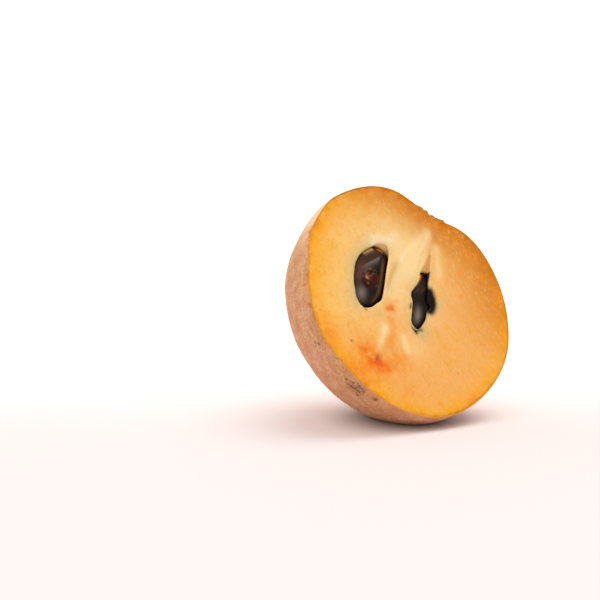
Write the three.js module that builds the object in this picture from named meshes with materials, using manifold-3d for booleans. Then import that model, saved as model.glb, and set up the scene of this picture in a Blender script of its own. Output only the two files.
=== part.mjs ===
// Half of a sapodilla, cut lengthwise beside its core, with the two seeds that lie in the cut face.
// Lengths are millimetres. The fruit is shaped in a frame of its own, with its middle as the origin, x across it,
// y from blossom end to stem end and z out of the cut face. It then leans back on a flat spot of its skin.

import * as THREE from "three";
import { mergeVertices } from "three/addons/utils/BufferGeometryUtils.js";
import Module from "manifold-3d";

const manifoldLibrary = await Module();
manifoldLibrary.setup();
const { Manifold, Mesh: SolidMesh } = manifoldLibrary;
const { degToRad } = THREE.MathUtils;

// The whole fruit: a mean radius and what each way of the form adds to it
const MEAN_RADIUS = 36.1;
const FLATTENING = -1.33; // shorter from stem to blossom than across
const TAPER = -0.22; // fuller towards the blossom end
const SKEW = -1.28; // shoulders of unequal height
const LOPSIDE = 0.32; // a fuller cheek on the right
const FRUIT_SIDES = 72;
const FRUIT_RINGS = 48;

// Gentle swells and dents round the cut: turn in degrees from the x axis, height, and reach in radians
const SWELLS = [
  { turn: 236, height: 1.1, reach: 0.28 },
  { turn: 199, height: -1, reach: 0.2 },
  { turn: 312, height: 0.65, reach: 0.3 },
  { turn: 8, height: 0.5, reach: 0.25 },
  { turn: 114, height: -0.4, reach: 0.15 },
  { turn: 161, height: 0.5, reach: 0.15 },
];

// The hollow round the stem, and the scars at both ends
const STEM_LEAN = -10; // degrees from the y axis, to the left
const STEM_HOLLOW_DEPTH = 4.8;
const STEM_HOLLOW_REACH = 0.306; // radians
const BLOSSOM_LEAN = -3.4;
const SCAR_SIDES = 14;
const SCAR_ROOT = 2; // how far a scar is sunk into the fruit

// Each scar's crown goes from its edge to its middle, in parts of its radius and height
const STEM_SCAR = {
  radius: 2.3,
  height: 1.1,
  crown: [
    [1, 0.6],
    [0.75, 1],
    [0.45, 0.8],
    [0, 0.3],
  ],
};
const BLOSSOM_TIP = {
  radius: 1.5,
  height: 0.9,
  crown: [
    [1, 0],
    [0.4, 0.7],
    [0, 1],
  ],
};

// The knife passed a little in front of the core
const CUT_OFFSET = 3.1;

// How it stands: the cut face looks up by FACE_TILT, and the stem end is rolled to the right
const FACE_TILT = 26.5;
const STEM_ROLL = 41.9;
const SEAT_HEIGHT = 36.5; // from the flat spot up to the middle of the fruit
const SEAT_BACK = 28; // degrees behind straight down, where the skin is fuller and carries the weight
const SEAT_SIDE = 3;
const SEAT_FULLNESS = 3.2;
const SEAT_REACH = 0.35; // radians

// Seeds: flat, longer than broad, blunt, with a ridge beside the scar that faces the core
const SEED_LENGTH = 21;
const SEED_WIDTH = 12;
const SEED_THICKNESS = 5.6;
const SEED_BLUNTNESS = 2.5; // of its outline: 2 is an ellipse, more is squarer
const SEED_ROUNDNESS = 2; // of its faces, in the same way
const SEED_CREST_SHIFT = 1.3; // the upper end leans to the right by this
const SEED_SHOULDER = 4.5; // how much farther both upper corners lean
const SEED_BULGE = 0.6; // the right side is fuller by this
const SEED_FACET_REACH = 0.62; // part of the half width at which the facet beside the ridge begins
const SEED_FACET_FALL = 0.75; // how steeply that facet falls away
const SEED_SIDES = 24;
const SEED_RINGS = 18;
const SEED_GAP = 0.3;
const SEED_LEFT = { place: [-14.9, -1.2, 0.9], roll: 15, pitch: 0 };
const SEED_RIGHT = { place: [4.7, 3.9, -0.7], roll: 15, pitch: -5 };

// Mouths of the two seed pockets in the cut face, as outlines about their own places, turned with the seeds.
// The left one is a wide opening, and the right one a narrow slit that runs out to a point at the stem end
const MOUTH_RISE = 3; // past the cut face
const LEFT_MOUTH = {
  place: [-14.1, -1.5],
  depth: 2.4,
  outline: [
    [2.4, 12.2],
    [4.6, 9.9],
    [4.9, 8],
    [4.8, 3.5],
    [5.1, -2.2],
    [5, -6.1],
    [2.2, -9.6],
    [0, -10.8],
    [-2, -10.3],
    [-4.4, -6],
    [-5.2, -2.1],
    [-5.8, 1],
    [-4.8, 4.9],
    [-2, 9.2],
  ],
};
const RIGHT_MOUTH = {
  place: [4.2, 2.5],
  depth: 4,
  outline: [
    [0.3, 18.1],
    [-1.7, 10.5],
    [-2.2, 6.6],
    [-4.1, 0],
    [-3, -4.7],
    [-2.7, -8],
    [-1.5, -9.6],
    [0.2, -9.9],
    [2, -5.4],
    [1.9, -2.9],
    [2.9, -1.3],
    [1.7, 0.2],
    [1, 6.2],
    [0.9, 12.1],
  ],
};

// A block that is larger than the fruit, for straight cuts
const BLOCK = 200;

const FRUIT_LOOK = { color: 0xe7a04a, roughness: 0.55, metalness: 0 };
const SEED_LOOK = { color: 0x1b110c, roughness: 0.15, metalness: 0 };

// A direction in the plane of the core, leaning by an angle in degrees from the way up or down
function coreDirection(lean, up) {
  const angle = degToRad(lean);
  return new THREE.Vector3(Math.sin(angle), up * Math.cos(angle), 0);
}

const STANCE = new THREE.Euler(Math.PI / 2 - degToRad(FACE_TILT), 0, -degToRad(STEM_ROLL));
const STEM = coreDirection(STEM_LEAN, 1);
const BLOSSOM = coreDirection(BLOSSOM_LEAN, -1);

// The way from the middle of the fruit to the middle of the fuller skin it rests on, in the fruit's own frame
function seatDirection() {
  const back = degToRad(SEAT_BACK);
  const side = degToRad(SEAT_SIDE);
  const direction = new THREE.Vector3(Math.sin(side), Math.sin(back), -Math.cos(back)).normalize();
  const toFruit = new THREE.Quaternion().setFromEuler(STANCE).invert();
  return direction.applyQuaternion(toFruit);
}

const SEAT = seatDirection();

// A round swelling of the skin, 1 in the middle and 0 far from it
function swelling(direction, middle, reach) {
  return Math.exp(-direction.distanceToSquared(middle) / reach ** 2);
}

// What the swells and dents add in a given direction
function unevenness(direction) {
  return SWELLS.reduce((sum, { turn, height, reach }) => {
    const middle = new THREE.Vector3(Math.cos(degToRad(turn)), Math.sin(degToRad(turn)), 0);
    return sum + height * swelling(direction, middle, reach);
  }, 0);
}

// How far the skin is from the middle of the fruit
function fruitRadius(direction) {
  const across = direction.x;
  const along = direction.y;
  const form =
    MEAN_RADIUS +
    FLATTENING * (2 * along ** 2 - 1) +
    TAPER * (4 * along ** 3 - 3 * along) +
    SKEW * 2 * across * along +
    LOPSIDE * across * (4 * along ** 2 - 1);
  const hollow = STEM_HOLLOW_DEPTH * swelling(direction, STEM, STEM_HOLLOW_REACH);
  const seat = SEAT_FULLNESS * swelling(direction, SEAT, SEAT_REACH);
  return form + unevenness(direction) - hollow + seat;
}

// Moves every vertex of a geometry to where shape puts it
function reshape(geometry, shape) {
  const position = geometry.attributes.position;
  const point = new THREE.Vector3();
  for (let i = 0; i < position.count; i += 1) {
    point.fromBufferAttribute(position, i);
    shape(point);
    position.setXYZ(i, point.x, point.y, point.z);
  }
  return geometry;
}

// A closed three.js geometry as a solid that can be joined and cut
function solidFrom(geometry) {
  const bare = geometry.clone();
  bare.deleteAttribute("normal");
  bare.deleteAttribute("uv");
  const merged = mergeVertices(bare, 1e-5);
  const vertProperties = new Float32Array(merged.attributes.position.array);
  const triVerts = new Uint32Array(merged.index.array);
  return new Manifold(new SolidMesh({ numProp: 3, vertProperties, triVerts }));
}

function geometryFrom(solid) {
  const mesh = solid.getMesh();
  const geometry = new THREE.BufferGeometry();
  geometry.setAttribute("position", new THREE.BufferAttribute(mesh.vertProperties, 3));
  geometry.setIndex(new THREE.BufferAttribute(mesh.triVerts, 1));
  geometry.computeVertexNormals();
  return geometry;
}

function wholeFruit() {
  const ball = new THREE.SphereGeometry(1, FRUIT_SIDES, FRUIT_RINGS);
  return reshape(ball, (point) => {
    point.normalize();
    point.multiplyScalar(fruitRadius(point));
  });
}

// A scar stands on the skin at one end of the fruit
function scarAt(direction, { radius, height, crown }) {
  const root = [new THREE.Vector2(0, -SCAR_ROOT), new THREE.Vector2(radius, -SCAR_ROOT)];
  const top = crown.map(([out, up]) => new THREE.Vector2(out * radius, up * height));
  const scar = new THREE.LatheGeometry([...root, ...top], SCAR_SIDES);
  const turn = new THREE.Quaternion().setFromUnitVectors(new THREE.Vector3(0, 1, 0), direction);
  const foot = direction.clone().multiplyScalar(fruitRadius(direction));
  scar.applyQuaternion(turn);
  return scar.translate(foot.x, foot.y, foot.z);
}

// Length of the radius of a blunt seed form of half axes 1, in a given direction
function bluntRadius(point) {
  const outline = Math.abs(point.x) ** SEED_BLUNTNESS + Math.abs(point.y) ** SEED_BLUNTNESS;
  const sum = outline + Math.abs(point.z) ** SEED_ROUNDNESS;
  return 1 / sum ** (1 / SEED_BLUNTNESS);
}

// A seed about its own middle, grown on all sides by a gap. Its length is along y and its flat side faces z
function seedShape(gap) {
  const halfWidth = SEED_WIDTH / 2 + gap;
  const halfLength = SEED_LENGTH / 2 + gap;
  const halfThickness = SEED_THICKNESS / 2 + gap;
  const ball = new THREE.SphereGeometry(1, SEED_SIDES, SEED_RINGS);
  return reshape(ball, (point) => {
    point.multiplyScalar(bluntRadius(point));
    const pastRidge = Math.max(0, point.x - SEED_FACET_REACH);
    point.z *= 1 - SEED_FACET_FALL * pastRidge;
    const upper = Math.max(0, point.y);
    const crest = SEED_CREST_SHIFT * upper ** 2 * (1 - point.x ** 2);
    const shoulder = SEED_SHOULDER * upper ** 3 * point.x ** 2;
    const bulge = SEED_BULGE * Math.max(0, point.x) ** 2;
    const across = point.x * halfWidth + crest + shoulder + bulge;
    point.set(across, point.y * halfLength, point.z * halfThickness);
  });
}

// Turns and moves a geometry from a seed's own frame to its place in the fruit
function toPlace(geometry, seed) {
  const turn = new THREE.Euler(degToRad(seed.pitch), 0, degToRad(seed.roll));
  geometry.applyQuaternion(new THREE.Quaternion().setFromEuler(turn));
  return geometry.translate(...seed.place);
}

// The opening over a seed, from below the cut face to well past it
function mouthOver(seed, { place, depth, outline }) {
  const corners = outline.map(([x, y]) => new THREE.Vector2(x, y));
  const run = { depth: depth + MOUTH_RISE, bevelEnabled: false };
  const mouth = new THREE.ExtrudeGeometry(new THREE.Shape(corners), run);
  mouth.rotateZ(degToRad(seed.roll));
  return mouth.translate(...place, CUT_OFFSET - depth);
}

// Everything in front of the knife
function cutAway() {
  return new THREE.BoxGeometry(BLOCK, BLOCK, BLOCK).translate(0, 0, CUT_OFFSET + BLOCK / 2);
}

// Everything below what the fruit rests on, seen from the fruit's own frame
function belowSeat() {
  const block = new THREE.BoxGeometry(BLOCK, BLOCK, BLOCK);
  block.translate(0, 0, -SEAT_HEIGHT - BLOCK / 2);
  return block.applyQuaternion(new THREE.Quaternion().setFromEuler(STANCE).invert());
}

function fruitHalf() {
  const grown = [scarAt(STEM, STEM_SCAR), scarAt(BLOSSOM, BLOSSOM_TIP)];
  const removed = [
    cutAway(),
    belowSeat(),
    toPlace(seedShape(SEED_GAP), SEED_LEFT),
    mouthOver(SEED_LEFT, LEFT_MOUTH),
    toPlace(seedShape(SEED_GAP), SEED_RIGHT),
    mouthOver(SEED_RIGHT, RIGHT_MOUTH),
  ];
  let solid = solidFrom(wholeFruit());
  for (const geometry of grown) {
    solid = solid.add(solidFrom(geometry));
  }
  for (const geometry of removed) {
    solid = solid.subtract(solidFrom(geometry));
  }
  return geometryFrom(solid);
}

function named(name, geometry, look) {
  const mesh = new THREE.Mesh(geometry, new THREE.MeshStandardMaterial(look));
  mesh.name = name;
  return mesh;
}

const sapodilla = new THREE.Group();
sapodilla.rotation.copy(STANCE);
sapodilla.position.set(0, 0, SEAT_HEIGHT);
sapodilla.add(named("fruit_half", fruitHalf(), FRUIT_LOOK));
sapodilla.add(named("seed_left", toPlace(seedShape(0), SEED_LEFT), SEED_LOOK));
sapodilla.add(named("seed_right", toPlace(seedShape(0), SEED_RIGHT), SEED_LOOK));

const part = new THREE.Group();
part.add(sapodilla);

export default part;
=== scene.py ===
import math

import bpy
import numpy as np
from bpy.props import FloatProperty, FloatVectorProperty, IntProperty, PointerProperty
from mathutils import Matrix, Vector, noise


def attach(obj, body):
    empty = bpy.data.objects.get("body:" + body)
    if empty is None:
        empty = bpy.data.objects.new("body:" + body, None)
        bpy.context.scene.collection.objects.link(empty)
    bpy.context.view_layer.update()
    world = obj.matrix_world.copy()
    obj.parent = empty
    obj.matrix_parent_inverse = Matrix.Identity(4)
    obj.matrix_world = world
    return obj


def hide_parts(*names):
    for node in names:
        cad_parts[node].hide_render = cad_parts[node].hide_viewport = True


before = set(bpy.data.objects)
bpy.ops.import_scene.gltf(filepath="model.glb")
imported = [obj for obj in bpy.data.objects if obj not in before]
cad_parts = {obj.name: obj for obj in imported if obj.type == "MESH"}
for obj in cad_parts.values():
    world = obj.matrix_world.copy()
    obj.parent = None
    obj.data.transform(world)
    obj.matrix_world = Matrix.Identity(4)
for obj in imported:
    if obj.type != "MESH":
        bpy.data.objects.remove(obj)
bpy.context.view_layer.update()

bl_info = {
    "name": "Sapodilla Half",
    "version": (1, 0, 0),
    "blender": (4, 5, 0),
    "location": "3D View > Sidebar > Sapodilla",
    "description": "Models half a sapodilla with its skin, its wet flesh and two glossy seeds",
    "category": "Object",
}

MM = 0.001

# The whole fruit: a mean radius and what each way of the form adds to it
MEAN_RADIUS = 36.1 * MM
FLATTENING = -1.33 * MM
TAPER = -0.22 * MM
SKEW = -1.28 * MM
LOPSIDE = 0.32 * MM
STEM_LEAN = math.radians(-10)
STEM_HOLLOW_DEPTH = 4.8 * MM
STEM_HOLLOW_REACH = 0.306
BLOSSOM_LEAN = math.radians(-3.4)
CUT_OFFSET = 3.1 * MM

# Gentle swells and dents round the cut: angle in degrees, height, and reach as a part of the radius
SWELLS = [
    (236, 1.1 * MM, 0.28),
    (199, -1.0 * MM, 0.20),
    (312, 0.65 * MM, 0.30),
    (8, 0.5 * MM, 0.25),
    (114, -0.4 * MM, 0.15),
    (161, 0.5 * MM, 0.15),
]

# How it stands
FACE_TILT = math.radians(26.5)
STEM_ROLL = math.radians(41.9)
SEAT_HEIGHT = 36.5 * MM
SEAT_BACK = math.radians(28)
SEAT_SIDE = math.radians(3)
SEAT_FULLNESS = 3.2 * MM
SEAT_REACH = 0.35

# Seeds, and where their middles lie in the fruit
SEED_LENGTH = 21.0 * MM
SEED_WIDTH = 12.0 * MM
SEED_THICKNESS = 5.6 * MM
SEED_BLUNTNESS = 2.5
SEED_ROUNDNESS = 2
SEED_CREST_SHIFT = 1.3 * MM
SEED_SHOULDER = 4.5 * MM
SEED_BULGE = 0.6 * MM
SEED_GAP = 0.3 * MM
SEED_ROLL = math.radians(15)
SEED_LEFT_PLACE = Vector((-14.9, -1.2, 0.9)) * MM
SEED_RIGHT_PLACE = Vector((4.7, 3.9, -0.7)) * MM
SEED_RIGHT_PITCH = math.radians(-5)

# Mouths of the seed pockets, as outlines about their own places, in millimetres and turned with the seeds
LEFT_MOUTH_PLACE = (-14.1, -1.5)
LEFT_MOUTH = [
    (2.4, 12.2),
    (3.7, 11.7),
    (4.6, 9.9),
    (4.9, 8.0),
    (4.8, 3.5),
    (5.1, -2.2),
    (5.0, -6.1),
    (3.5, -7.9),
    (2.2, -9.6),
    (0.0, -10.8),
    (-2.0, -10.3),
    (-3.6, -8.3),
    (-4.4, -6.0),
    (-5.2, -2.1),
    (-5.8, 1.0),
    (-5.5, 3.1),
    (-4.8, 4.9),
    (-3.6, 7.1),
    (-2.0, 9.2),
    (0.3, 11.3),
]
RIGHT_MOUTH_PLACE = (4.2, 2.5)
RIGHT_MOUTH = [
    (0.3, 18.1),
    (-0.6, 14.2),
    (-1.7, 10.5),
    (-2.4, 8.4),
    (-2.2, 6.6),
    (-2.8, 4.1),
    (-3.9, 1.7),
    (-4.1, -0.1),
    (-3.3, -1.8),
    (-3.0, -4.7),
    (-2.7, -8.0),
    (-1.5, -9.6),
    (0.2, -9.9),
    (1.4, -7.7),
    (2.0, -5.4),
    (1.9, -2.9),
    (2.9, -1.9),
    (2.8, -0.7),
    (1.7, 0.2),
    (1.3, 2.3),
    (1.0, 6.2),
    (1.1, 8.9),
    (0.9, 12.1),
]
# Where the right seed darkens the thin flesh over it
SHADOW = [
    (0.4, 3.8),
    (1.9, 4.9),
    (2.7, 4.5),
    (3.9, 2.6),
    (5.0, -0.1),
    (4.6, -2.4),
    (3.6, -3.5),
    (1.4, -2.6),
]

# Specks on the skin: degrees down from the left edge, millimetres from the cut, size in millimetres
SKIN_SPECKS = [
    (-97.5, 2.2, 0.75),
    (-58.5, 3.6, 0.45),
    (-57.0, 5.2, 0.45),
    (-91.0, 6.8, 0.5),
    (-80.5, 4.2, 0.55),
]

FLESH_VOXEL = 0.36 * MM
# Farther than any point of the fruit is from another
FAR = 0.12
# Steps to which points are rounded, on a ball of radius 1 and on the flesh
BALL_STEP = 1e-5
POINT_STEP = 1e-4 * MM

# Where the key light shines from, and how near the fruit keeps light from coming up through the surface
KEY_PLACE = (0.30, 0.05, 0.95)
SHADE_REACH = 18 * MM


def core_direction(lean, up):
    return np.array([math.sin(lean), up * math.cos(lean), 0.0])


STANCE = Matrix.Rotation(math.pi / 2 - FACE_TILT, 3, "X") @ Matrix.Rotation(-STEM_ROLL, 3, "Z")
FRUIT_TO_WORLD = Matrix.Translation((0, 0, SEAT_HEIGHT)) @ STANCE.to_4x4()
TURN = np.array(STANCE)
STEM = core_direction(STEM_LEAN, 1)
BLOSSOM = core_direction(BLOSSOM_LEAN, -1)


def seat_direction():
    down = np.array([math.sin(SEAT_SIDE), math.sin(SEAT_BACK), -math.cos(SEAT_BACK)])
    return TURN.T @ (down / np.linalg.norm(down))


SEAT = seat_direction()


# Sizes and colours that a user may change

def length(name, description, default):
    return FloatProperty(name=name, description=description, default=default, unit="LENGTH", precision=5)


def colour(name, description, default):
    return FloatVectorProperty(name=name, description=description, default=default, subtype="COLOR",
                               min=0, max=1)


class SkinLook(bpy.types.PropertyGroup):
    thickness: length("Thickness", "Skin at the cut", 0.22 * MM)
    scurf_height: length("Scurf height", "Height of the sandy grains", 0.09 * MM)
    swell_height: length("Swell height", "Height of the broad unevenness", 0.30 * MM)
    crumb_height: length("Crumb height", "Ragged edge at the stem hollow", 0.5 * MM)
    scrape_height: length("Scrape height", "Height of the crumbs where the skin was torn", 0.35 * MM)
    sides: IntProperty(name="Sides", description="Faces round the skin", default=560)
    rings: IntProperty(name="Rings", description="Rings of faces from the back to the cut", default=124)
    tan: colour("Tan", "Main colour", (0.64, 0.31, 0.135))
    pink: colour("Pink", "Pinker patches", (0.68, 0.315, 0.175))
    grain: colour("Grain", "Orange-brown grains", (0.50, 0.17, 0.040))
    grey: colour("Grey", "Greyish grains", (0.38, 0.22, 0.125))
    scurf: colour("Scurf", "Pale dry scurf", (0.86, 0.56, 0.32))
    scar: colour("Scar", "Dark blossom scar", (0.20, 0.085, 0.045))
    scrape: colour("Scrape", "Torn skin beside the cut", (0.78, 0.34, 0.13))
    raw: colour("Raw", "Raw orange patches of the torn skin", (0.62, 0.19, 0.03))
    crumb: colour("Crumbs", "Reddish crumbs at the stem hollow", (0.27, 0.075, 0.028))
    cut: colour("Cut edge", "Moist edge of the cut skin", (0.74, 0.32, 0.05))


class FleshLook(bpy.types.PropertyGroup):
    grain_height: length("Grain height", "Height of the flesh grain", 0.045 * MM)
    swell_height: length("Swell height", "Unevenness of the cut", 0.20 * MM)
    peach: colour("Peach", "Main colour", (0.86, 0.42, 0.115))
    sunny: colour("Sunny", "Yellower flesh on the stem side", (0.90, 0.53, 0.145))
    gold: colour("Gold", "Ripe flesh under the skin", (0.91, 0.39, 0.002))
    ochre: colour("Ochre", "Darker flesh at the stem end", (0.60, 0.175, 0.001))
    amber: colour("Amber", "Small riper patches", (0.85, 0.345, 0.025))
    deep: colour("Deep", "Thin dark line under the skin", (0.60, 0.17, 0.001))
    cream: colour("Cream", "Pale flesh round core and seeds", (0.90, 0.66, 0.32))
    # White is the palest flesh. It is also laid as painted highlights on the knife edges of the mouths and on
    # the crest of the core's fold.
    white: colour("White", "Palest flesh above the left seed", (0.89, 0.72, 0.45))
    margin: colour("Margin", "Dull margin of the seed pockets", (0.58, 0.46, 0.20))
    fold: colour("Fold", "Shaded side of the core's fold", (0.66, 0.41, 0.14))
    stain: colour("Stain", "Broad orange stain", (0.86, 0.27, 0.020))
    blush: colour("Blush", "Orange-red middle of the stain", (0.80, 0.11, 0.001))
    wall: colour("Pocket wall", "Walls of the seed pockets", (0.88, 0.52, 0.20))
    # The slot colour is painted light: a paler wall that also glows a little, for light that comes through
    # the thin flesh.
    slot: colour("Slot", "Translucent walls of the slot over the right seed", (0.80, 0.52, 0.20))
    # Pocket depth is painted shade: near black on the deeper walls of the pockets and on the walls that lie
    # in the seeds' shade.
    depth: colour("Pocket depth", "Lower walls of the pockets", (0.020, 0.010, 0.005))
    shadow: colour("Shadow", "Flesh that the seed shows through", (0.009, 0.004, 0.002))
    ember: colour("Ember", "Thin flesh where light comes through", (0.55, 0.09, 0.004))
    speck: colour("Speck", "Small dark specks", (0.16, 0.07, 0.03))
    grime: colour("Grime", "Slight darkening of the fine grain", (0.97, 0.945, 0.86))


class SeedLook(bpy.types.PropertyGroup):
    sides: IntProperty(name="Sides", description="Faces round a seed", default=160)
    rings: IntProperty(name="Rings", description="Rings of faces along a seed", default=120)
    ridge: length("Ridge", "How far the ridge stands out", 0.28 * MM)
    facet: length("Facet", "How far the stem end is flattened", 0.35 * MM)
    coat: colour("Coat", "Polished seed coat", (0.006, 0.003, 0.002))
    worn: colour("Worn", "Duller patches of the coat", (0.012, 0.006, 0.004))
    # The next four colours are painted reflections on the glossy coat: olive on the facets, a warmer strip
    # beside the ridge, a grey sheen, and a reddish reflection.
    facet_reflection: colour("Olive", "Facets of the seed", (0.044, 0.015, 0.001))
    strip_reflection: colour("Brass", "Strip beside the ridge", (0.080, 0.042, 0.009))
    sheen_reflection: colour("Bloom", "Grey bloom on the coat", (0.24, 0.19, 0.15))
    red_reflection: colour("Haze", "Reddish film", (0.13, 0.042, 0.022))
    pulp: colour("Pulp", "Wet reddish pulp that clings to a seed", (0.040, 0.004, 0.001))
    pith: colour("Pith", "Tan remains of the pocket's wall", (0.60, 0.31, 0.12))
    # Glint is a painted highlight: bright spots on the wet pulp, and one at the nick of the right seed.
    glint: colour("Glint", "Bright drops on the pulp", (0.62, 0.36, 0.24))
    ember: colour("Ember", "Orange rim where light comes through", (0.60, 0.13, 0.006))


class StudioLook(bpy.types.PropertyGroup):
    azimuth: FloatProperty(name="Azimuth", description="Camera round the fruit", default=math.radians(-32.4),
                           subtype="ANGLE")
    elevation: FloatProperty(name="Elevation", description="Camera over the surface",
                             default=math.radians(9), subtype="ANGLE")
    distance: length("Distance", "Camera to the cut face", 0.6)
    lens: FloatProperty(name="Lens", description="Focal length in millimetres", default=118.4)
    aim_left: length("Aim left", "View's middle left of the cut face's middle", 30.9 * MM)
    aim_down: length("Aim down", "View's middle below the cut face's middle", 2.2 * MM)
    core_side: length("Core side", "Cut face's middle to the left of the form's middle", 3.1 * MM)
    sun: FloatProperty(name="Sun", description="Strength of the soft key light", default=1.7)
    sun_width: FloatProperty(name="Sun width", description="How wide the key light is, which softens shadows",
                             default=math.radians(46), subtype="ANGLE")
    ceiling: FloatProperty(name="Ceiling", description="Strength of the light overhead", default=0.85)
    walls: FloatProperty(name="Walls", description="Strength of the light from the room", default=0.27)
    front: FloatProperty(name="Front", description="Strength of the soft light from the front", default=0.48)
    backdrop: FloatProperty(name="Backdrop", description="Strength of the light from behind", default=0.9)
    floor: colour("Floor", "Pale surface", (0.46, 0.46, 0.46))
    floor_glow: colour("Floor glow", "Light that comes up through the surface", (0.36, 0.25, 0.22))
    far_floor: colour("Far floor", "The surface far behind, which burns out to white", (0.99, 0.985, 0.98))


# Work on meshes

def only(obj):
    """Nothing but this object is selected, and it is the active one."""
    bpy.ops.object.select_all(action="DESELECT")
    obj.select_set(True)
    bpy.context.view_layer.objects.active = obj


def read_points(obj):
    points = np.zeros(len(obj.data.vertices) * 3)
    obj.data.vertices.foreach_get("co", points)
    return points.reshape(-1, 3)


def steady_points(obj, step):
    """The points rounded to a step, so that every run of the script gives the same mesh."""
    return np.round(read_points(obj) / step) * step


def write_points(obj, points):
    obj.data.vertices.foreach_set("co", np.ascontiguousarray(points).ravel())
    obj.data.update()


def write_mask(obj, name, values):
    attribute = obj.data.attributes.new(name, "FLOAT", "POINT")
    attribute.data.foreach_set("value", np.clip(values, 0, 1).astype(np.float32))


def write_grain(obj, points):
    """Keeps each point's own place, so that patterns are laid in the fruit's or the seed's frame."""
    attribute = obj.data.attributes.new("grain", "FLOAT_VECTOR", "POINT")
    attribute.data.foreach_set("vector", points.astype(np.float32).ravel())


def apply_modifier(obj, kind, **settings):
    modifier = obj.modifiers.new(kind.title(), kind)
    for name, value in settings.items():
        setattr(modifier, name, value)
    only(obj)
    bpy.ops.object.modifier_apply(modifier=modifier.name)


def finish_piece(obj, name, material):
    """The piece's place goes into its mesh, and it rides on the fruit's one body."""
    obj.name = name
    obj.data.name = name
    obj.data.transform(FRUIT_TO_WORLD)
    obj.data.materials.clear()
    obj.data.materials.append(material)
    only(obj)
    bpy.ops.object.shade_smooth()
    obj.data.update()
    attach(obj, "root")


def noise_at(points, size, seed=0.0):
    """Smooth noise from -1 to 1 at each point, with patches of about the given size."""
    offset = Vector((seed * 7.3, seed * 3.1, seed * 5.7))
    return np.array([noise.noise(Vector(point / size) + offset) for point in points])


def smooth_step(low, high, values):
    part = np.clip((values - low) / (high - low), 0, 1)
    return part * part * (3 - 2 * part)


# The form of the fruit

def swelling(direction, middle, reach):
    away = ((direction - middle) ** 2).sum(axis=1)
    return np.exp(-away / reach ** 2)


def fruit_radius(direction):
    """How far the skin is from the middle of the fruit, for unit directions in rows."""
    across = direction[:, 0]
    along = direction[:, 1]
    form = MEAN_RADIUS + FLATTENING * (2 * along ** 2 - 1) + TAPER * (4 * along ** 3 - 3 * along)
    form += SKEW * 2 * across * along + LOPSIDE * across * (4 * along ** 2 - 1)
    for turn, height, reach in SWELLS:
        middle = np.array([math.cos(math.radians(turn)), math.sin(math.radians(turn)), 0.0])
        form += height * swelling(direction, middle, reach)
    hollow = STEM_HOLLOW_DEPTH * swelling(direction, STEM, STEM_HOLLOW_REACH)
    seat = SEAT_FULLNESS * swelling(direction, SEAT, SEAT_REACH)
    return form - hollow + seat


def skin_depth(direction):
    """The skin is thin where it is cut, and away from there thick enough for its relief."""
    thickness = bpy.context.scene.sapodilla_skin.thickness
    below_cut = smooth_step(0.085, 0.045, direction[:, 2])
    return thickness * (1 + 0.5 * noise_at(direction, 0.06, 4)) + 0.6 * MM * below_cut


def bowl_directions(turn, angle):
    return np.stack([np.sin(angle) * np.cos(turn), np.sin(angle) * np.sin(turn), -np.cos(angle)], axis=1)


def rim_angle(turn, inset):
    """Angle from the back of the fruit to the knife's plane, for each turn about the core of the view."""
    angle = np.full(len(turn), math.pi / 2)
    for _ in range(6):
        direction = bowl_directions(turn, angle)
        angle = np.arccos(-CUT_OFFSET / (fruit_radius(direction) - inset(direction)))
    return angle


def no_inset(direction):
    return np.zeros(len(direction))


def bowl_points(unit, inset):
    """Moves the back half of a unit sphere onto the skin, with its open rim on the knife's plane."""
    unit = unit / np.linalg.norm(unit, axis=1)[:, None]
    turn = np.arctan2(unit[:, 1], unit[:, 0])
    part = np.arccos(np.clip(-unit[:, 2], -1, 1)) / (math.pi / 2)
    direction = bowl_directions(turn, part * rim_angle(turn, inset))
    depth = inset(direction)
    points = direction * (fruit_radius(direction) - depth)[:, None]
    height = points @ TURN.T[:, 2] + SEAT_HEIGHT
    sunk = np.clip(depth - height, 0, None)
    return points + sunk[:, None] * TURN[2]


def fruit_bowl(name, inset, sides, rings):
    """The fruit's form behind the cut as an open bowl, moved inwards by inset(direction)."""
    bpy.ops.object.select_all(action="DESELECT")
    bpy.ops.mesh.primitive_uv_sphere_add(segments=sides // 4, ring_count=rings // 2, radius=1)
    bowl = bpy.context.object
    bowl.name = name
    front = read_points(bowl)[:, 2] > 0.001
    bpy.ops.object.mode_set(mode="EDIT")
    bpy.ops.mesh.select_all(action="DESELECT")
    bpy.ops.object.mode_set(mode="OBJECT")
    bowl.data.vertices.foreach_set("select", front)
    bpy.ops.object.mode_set(mode="EDIT")
    bpy.ops.mesh.select_mode(type="VERT")
    bpy.ops.mesh.delete(type="VERT")
    bpy.ops.object.mode_set(mode="OBJECT")
    apply_modifier(bowl, "SUBSURF", subdivision_type="SIMPLE", levels=2, render_levels=2)
    write_points(bowl, bowl_points(steady_points(bowl, BALL_STEP), inset))
    return bowl


def close_rim(obj, bridge):
    """Closes the open rim with a flat face, or joins two open rims with a band."""
    only(obj)
    bpy.ops.object.mode_set(mode="EDIT")
    bpy.ops.mesh.select_all(action="DESELECT")
    bpy.ops.mesh.select_mode(type="EDGE")
    bpy.ops.mesh.select_non_manifold()
    if bridge:
        bpy.ops.mesh.bridge_edge_loops()
    else:
        bpy.ops.mesh.edge_face_add()
    bpy.ops.mesh.select_all(action="SELECT")
    bpy.ops.mesh.normals_make_consistent(inside=False)
    bpy.ops.object.mode_set(mode="OBJECT")


# Seeds

def seed_matrix(place, pitch):
    turn = Matrix.Rotation(pitch, 4, "X") @ Matrix.Rotation(SEED_ROLL, 4, "Z")
    return Matrix.Translation(place) @ turn


SEEDS = {
    "seed_left": seed_matrix(SEED_LEFT_PLACE, 0),
    "seed_right": seed_matrix(SEED_RIGHT_PLACE, SEED_RIGHT_PITCH),
}


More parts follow.
